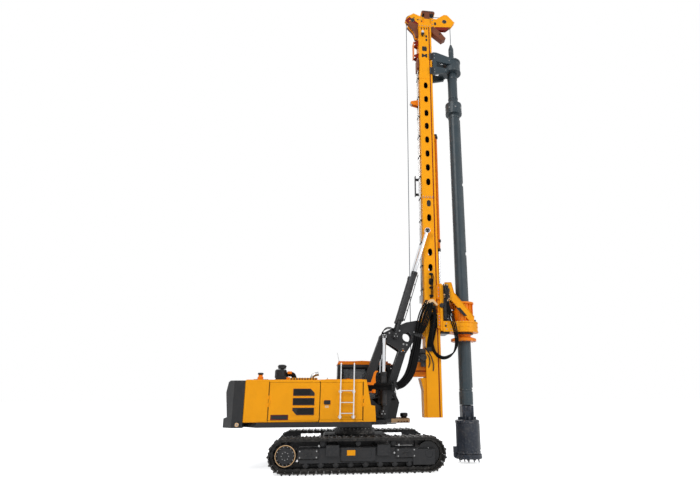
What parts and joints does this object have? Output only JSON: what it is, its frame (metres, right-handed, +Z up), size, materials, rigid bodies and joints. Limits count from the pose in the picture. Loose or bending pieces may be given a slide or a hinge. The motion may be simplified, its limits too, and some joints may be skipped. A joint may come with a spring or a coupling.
{
  "type": "rotary piling rig",
  "caption": "Crawler drilling rig: slewing upper body with cab, luffing parallelogram, tilting mast, sliding rotary drive, hoisted spinning kelly bar and a drilling bucket with hinged bottom.",
  "frame": {"origin": "on the ground, under the middle of the machine's length and width; the slewing axis is 0.16 m behind it", "axes": "+X towards the mast and kelly bar, +Y to the machine's left (cab side), +Z up; the tracks stand on Z = 0"},
  "size_m": [8.04, 4, 17.39],
  "materials": {
    "yellow_paint": "semi-gloss",
    "orange_paint": "semi-gloss",
    "charcoal_paint": "satin",
    "slate_paint": "satin",
    "bucket_paint": "satin",
    "black_frame": "semi-gloss",
    "tinted_glass": "clear",
    "bare_steel": "brushed",
    "chrome_rod": "polished",
    "track_steel": "worn",
    "ladder_alloy": "satin",
    "wire_rope": "greased",
    "seat_fabric": "matt"
  },
  "bodies": {
    "undercarriage": {"carbody": "charcoal_paint", "slew_ring": "bare_steel"},
    "crawler_right": {"track_frame_right": "charcoal_paint", "track_right": "track_steel", "sprocket_right": "charcoal_paint"},
    "crawler_left": {"track_frame_left": "charcoal_paint", "track_left": "track_steel", "sprocket_left": "charcoal_paint"},
    "upper": {"turntable": "charcoal_paint", "counterweight": "charcoal_paint", "engine_hood": "yellow_paint", "engine": "bare_steel", "tank_housing": "yellow_paint", "air_cleaner": "black_frame", "exhaust": "bare_steel", "cab_shell": "black_frame", "cab_roof": "orange_paint", "cab_glass_right": "tinted_glass", "cab_glass_front": "tinted_glass", "operator_seat": "seat_fabric"},
    "hood_door_right_rear": {"hood_door_right_rear": "yellow_paint"},
    "hood_door_right_front": {"hood_door_right_front": "yellow_paint", "ladder": "ladder_alloy"},
    "hood_door_left": {"hood_door_left": "yellow_paint"},
    "cab_door": {"cab_door": "black_frame", "cab_door_glass": "tinted_glass"},
    "boom": {"boom_arms": "charcoal_paint"},
    "link": {"link_arms": "charcoal_paint"},
    "triangle": {"triangle_plates": "charcoal_paint"},
    "luff_barrel_right": {"luff_cylinder_right_barrel": "charcoal_paint"},
    "luff_rod_right": {"luff_cylinder_right_rod": "chrome_rod"},
    "luff_barrel_left": {"luff_cylinder_left_barrel": "charcoal_paint"},
    "luff_rod_left": {"luff_cylinder_left_rod": "chrome_rod"},
    "mast_barrel_right": {"mast_cylinder_right_barrel": "charcoal_paint"},
    "mast_rod_right": {"mast_cylinder_right_rod": "chrome_rod"},
    "mast_barrel_left": {"mast_cylinder_left_barrel": "charcoal_paint"},
    "mast_rod_left": {"mast_cylinder_left_rod": "chrome_rod"},
    "mast": {"mast_lower": "yellow_paint", "mast_upper": "yellow_paint", "mast_head": "orange_paint", "winch_frame": "orange_paint", "crowd_barrel": "charcoal_paint", "rope_main": "wire_rope"},
    "sheave_rear": {"sheave_rear": "charcoal_paint"},
    "sheave_front": {"sheave_front": "charcoal_paint"},
    "winch_drum": {"winch_drum": "charcoal_paint"},
    "drive": {"rotary_drive": "yellow_paint", "crowd_rod": "chrome_rod"},
    "sleeve": {"drive_sleeve": "orange_paint"},
    "follower": {"kelly_follower": "slate_paint", "rope_kelly": "wire_rope"},
    "kelly": {"kelly_bar": "slate_paint", "bucket_body": "bucket_paint"},
    "bucket_lid": {"bucket_bottom": "bucket_paint"}
  },
  "joints": [
    {"name": "gauge_right", "type": "slide", "parent": "undercarriage", "child": "crawler_right", "axis": [0, 1, 0], "range_m": [0, 0.5]},
    {"name": "gauge_left", "type": "slide", "parent": "undercarriage", "child": "crawler_left", "axis": [0, -1, 0], "range_m": [0, 0.5]},
    {"name": "slew", "type": "hinge", "parent": "undercarriage", "child": "upper", "pos_m": [-0.16, 0, 1.2], "axis": [0, 0, 1], "continuous": true},
    {"name": "hood_door_right_rear_hinge", "type": "hinge", "parent": "upper", "child": "hood_door_right_rear", "pos_m": [-2.74, -1.462, 1.9], "axis": [0, 0, -1], "range_deg": [0, 100]},
    {"name": "hood_door_right_front_hinge", "type": "hinge", "parent": "upper", "child": "hood_door_right_front", "pos_m": [-0.03, -1.462, 1.9], "axis": [0, 0, 1], "range_deg": [0, 100]},
    {"name": "hood_door_left_hinge", "type": "hinge", "parent": "upper", "child": "hood_door_left", "pos_m": [-2.74, 1.462, 1.9], "axis": [0, 0, 1], "range_deg": [0, 100]},
    {"name": "cab_door_hinge", "type": "hinge", "parent": "upper", "child": "cab_door", "pos_m": [-0.367, 1.476, 2.2], "axis": [0, 0, 1], "range_deg": [0, 90]},
    {"name": "boom_luff", "type": "hinge", "parent": "upper", "child": "boom", "pos_m": [0.7, 0, 1.55], "axis": [0, 1, 0], "range_deg": [-15, 20]},
    {"name": "link_pin", "type": "hinge", "parent": "upper", "child": "link", "pos_m": [0.07, 0, 1.99], "axis": [0, 1, 0], "range_deg": [-15, 20]},
    {"name": "boom_top_pin", "type": "hinge", "parent": "boom", "child": "triangle", "pos_m": [1.37, 0, 3.49], "axis": [0, 1, 0], "range_deg": [-20, 15]},
    {"name": "luff_cylinder_right_foot", "type": "hinge", "parent": "upper", "child": "luff_barrel_right", "pos_m": [0.7, -0.402, 1.55], "axis": [0, 1, 0], "range_deg": [-13, 17]},
    {"name": "luff_cylinder_right_stroke", "type": "slide", "parent": "luff_barrel_right", "child": "luff_rod_right", "axis": [0.0168, 0, 0.9999], "range_m": [-0.24, 0.18]},
    {"name": "luff_cylinder_left_foot", "type": "hinge", "parent": "upper", "child": "luff_barrel_left", "pos_m": [0.7, 0.402, 1.55], "axis": [0, 1, 0], "range_deg": [-13, 17]},
    {"name": "luff_cylinder_left_stroke", "type": "slide", "parent": "luff_barrel_left", "child": "luff_rod_left", "axis": [0.0168, 0, 0.9999], "range_m": [-0.24, 0.18]},
    {"name": "mast_tilt", "type": "hinge", "parent": "triangle", "child": "mast", "pos_m": [1.9, 0, 4.3], "axis": [0, 1, 0], "range_deg": [-90, 5]},
    {"name": "mast_cylinder_right_foot", "type": "hinge", "parent": "triangle", "child": "mast_barrel_right", "pos_m": [1.11, -0.405, 3.96], "axis": [0, 1, 0], "range_deg": [-93, 6]},
    {"name": "mast_cylinder_right_stroke", "type": "slide", "parent": "mast_barrel_right", "child": "mast_rod_right", "axis": [0.2975, 0, 0.9547], "range_m": [-1.22, 0.08]},
    {"name": "mast_cylinder_left_foot", "type": "hinge", "parent": "triangle", "child": "mast_barrel_left", "pos_m": [1.11, 0.405, 3.96], "axis": [0, 1, 0], "range_deg": [-93, 6]},
    {"name": "mast_cylinder_left_stroke", "type": "slide", "parent": "mast_barrel_left", "child": "mast_rod_left", "axis": [0.2975, 0, 0.9547], "range_m": [-1.22, 0.08]},
    {"name": "sheave_rear_spin", "type": "hinge", "parent": "mast", "child": "sheave_rear", "pos_m": [1.93, 0, 16.9], "axis": [0, 1, 0], "continuous": true},
    {"name": "sheave_front_spin", "type": "hinge", "parent": "mast", "child": "sheave_front", "pos_m": [3.27, 0, 16.96], "axis": [0, 1, 0], "continuous": true},
    {"name": "winch_spin", "type": "hinge", "parent": "mast", "child": "winch_drum", "pos_m": [1.88, 0, 3.25], "axis": [0, 1, 0], "continuous": true},
    {"name": "crowd", "type": "slide", "parent": "mast", "child": "drive", "axis": [0, 0, 1], "range_m": [-1.8, 1.2]},
    {"name": "sleeve_spin", "type": "hinge", "parent": "drive", "child": "sleeve", "pos_m": [3.52, 0, 4.3], "axis": [0, 0, 1], "continuous": true},
    {"name": "kelly_hoist", "type": "slide", "parent": "mast", "child": "follower", "axis": [0, 0, 1], "range_m": [-7, 0.6], "deforming": ["rope_kelly"]},
    {"name": "kelly_spin", "type": "hinge", "parent": "follower", "child": "kelly", "pos_m": [3.52, 0, 14.7], "axis": [0, 0, 1], "continuous": true},
    {"name": "bucket_lid_hinge", "type": "hinge", "parent": "kelly", "child": "bucket_lid", "pos_m": [3.075, 0, 0.4], "axis": [0, 1, 0], "range_deg": [0, 60]}
  ],
  "couplings": [
    {"joint": "link_pin", "follows": "boom_luff", "ratio": 1},
    {"joint": "boom_top_pin", "follows": "boom_luff", "ratio": -1},
    {"joint": "luff_cylinder_right_foot", "follows": "boom_luff", "ratio": 0.83},
    {"joint": "luff_cylinder_right_stroke", "follows": "boom_luff", "m_per_rad": -0.645},
    {"joint": "luff_cylinder_left_foot", "follows": "boom_luff", "ratio": 0.83},
    {"joint": "luff_cylinder_left_stroke", "follows": "boom_luff", "m_per_rad": -0.645},
    {"joint": "mast_cylinder_right_foot", "follows": "mast_tilt", "ratio": 1.02},
    {"joint": "mast_cylinder_right_stroke", "follows": "mast_tilt", "m_per_rad": 0.771},
    {"joint": "mast_cylinder_left_foot", "follows": "mast_tilt", "ratio": 1.02},
    {"joint": "mast_cylinder_left_stroke", "follows": "mast_tilt", "m_per_rad": 0.771},
    {"joint": "sleeve_spin", "follows": "kelly_spin", "ratio": 1}
  ]
}
